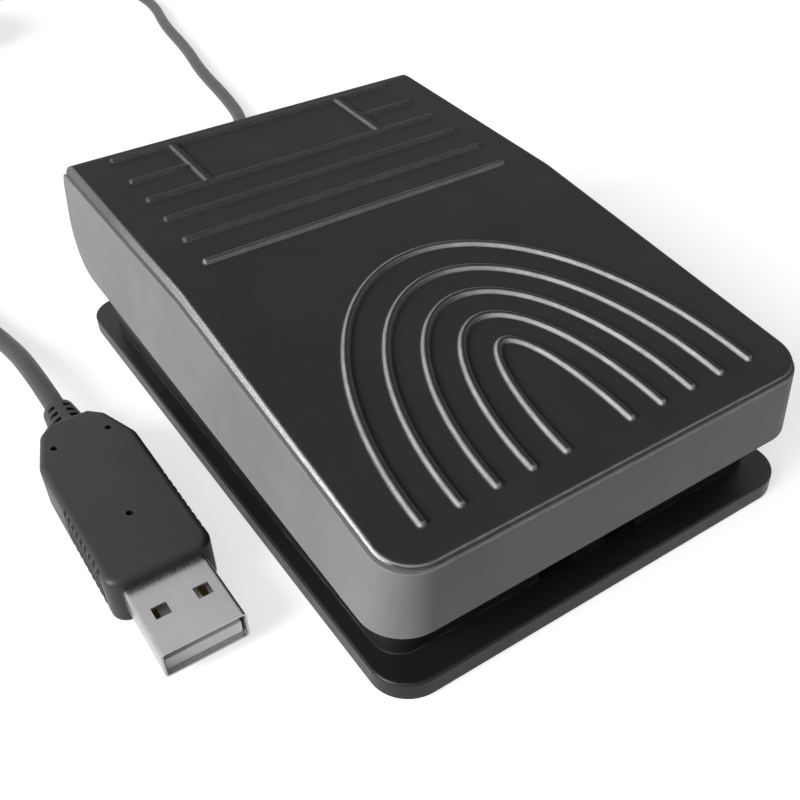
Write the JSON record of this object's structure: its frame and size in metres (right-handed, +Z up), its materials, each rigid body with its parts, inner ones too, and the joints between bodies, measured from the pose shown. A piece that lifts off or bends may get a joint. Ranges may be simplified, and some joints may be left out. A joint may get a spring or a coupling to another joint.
{
  "type": "usb foot pedal switch",
  "caption": "Single foot pedal switch with a hinged ribbed pedal, rubber feet and a long cord that ends in a USB plug.",
  "frame": {"origin": "on the floor, under the middle of the base plate", "axes": "+X to the right across the pedal, +Y from the toe end to the cord end, +Z up"},
  "size_m": [0.1215, 0.3464, 0.0363],
  "materials": {
    "textured_black_plastic": "fine grain",
    "satin_black_plastic": "satin",
    "switch_plastic": "matt",
    "plunger_plastic": "smooth",
    "bright_steel": "ground",
    "spring_steel": "drawn wire",
    "screw_steel": "black zinc",
    "spring_brass": "rolled",
    "black_rubber": "matt",
    "cord_black": "satin jacket",
    "plug_black": "moulded",
    "nickel_shell": "satin nickel",
    "tongue_plastic": "smooth",
    "gold_contacts": "gold plated",
    "board_green": "lacquered",
    "chip_black": "matt",
    "tie_fabric": "woven hook tape",
    "wire_red": "insulation",
    "wire_white": "insulation"
  },
  "bodies": {
    "base": {"base_shell": "satin_black_plastic", "cable_boot": "cord_black", "cable_clamp": "satin_black_plastic", "cable_tail": "cord_black", "clamp_screws": "screw_steel", "coil_tie": "tie_fabric", "cord_coil": "cord_black", "cord_lead": "cord_black", "cord_plug_lead": "cord_black", "foot_front_left": "black_rubber", "foot_front_right": "black_rubber", "foot_rear_left": "black_rubber", "foot_rear_right": "black_rubber", "hinge_pin": "bright_steel", "plug_board": "board_green", "plug_chips": "chip_black", "plug_contacts": "gold_contacts", "plug_overmold": "plug_black", "plug_shell": "nickel_shell", "plug_strain_relief": "plug_black", "plug_tongue": "tongue_plastic", "return_spring_left": "spring_steel", "return_spring_right": "spring_steel", "stop_bumper_left": "black_rubber", "stop_bumper_right": "black_rubber", "switch_case": "switch_plastic", "switch_cover": "switch_plastic", "switch_screws": "screw_steel", "switch_terminals": "spring_brass", "wire_common": "wire_red", "wire_signal": "wire_white"},
    "pedal": {"pedal_top": "textured_black_plastic", "pedal_skirt": "satin_black_plastic", "pedal_screws": "screw_steel"},
    "lever": {"switch_lever": "bright_steel"},
    "plunger": {"switch_plunger": "plunger_plastic"},
    "blade": {"switch_blade": "spring_brass"}
  },
  "joints": [
    {"name": "pedal_press", "type": "hinge", "parent": "base", "child": "pedal", "pos_m": [0, 0.04145, 0.0252], "axis": [1, 0, 0], "range_deg": [0, 4], "stiffness_Nm_per_rad": 3, "springref_deg": -6.88, "deforming": ["return_spring_left", "return_spring_right"]},
    {"name": "switch_lever", "type": "hinge", "parent": "base", "child": "lever", "pos_m": [0, 0.0269, 0.0192], "axis": [1, 0, 0], "range_deg": [0, 8]},
    {"name": "switch_plunger", "type": "slide", "parent": "base", "child": "plunger", "axis": [0, 0, -1], "range_m": [0, 0.0007]},
    {"name": "switch_blade", "type": "hinge", "parent": "base", "child": "blade", "pos_m": [0, 0.02625, 0.0145], "axis": [1, 0, 0], "range_deg": [0, 10]}
  ],
  "couplings": [
    {"joint": "switch_lever", "follows": "pedal_press", "ratio": 1.9448},
    {"joint": "switch_plunger", "follows": "pedal_press", "m_per_rad": 0.009724},
    {"joint": "switch_blade", "follows": "pedal_press", "ratio": 2.431}
  ]
}
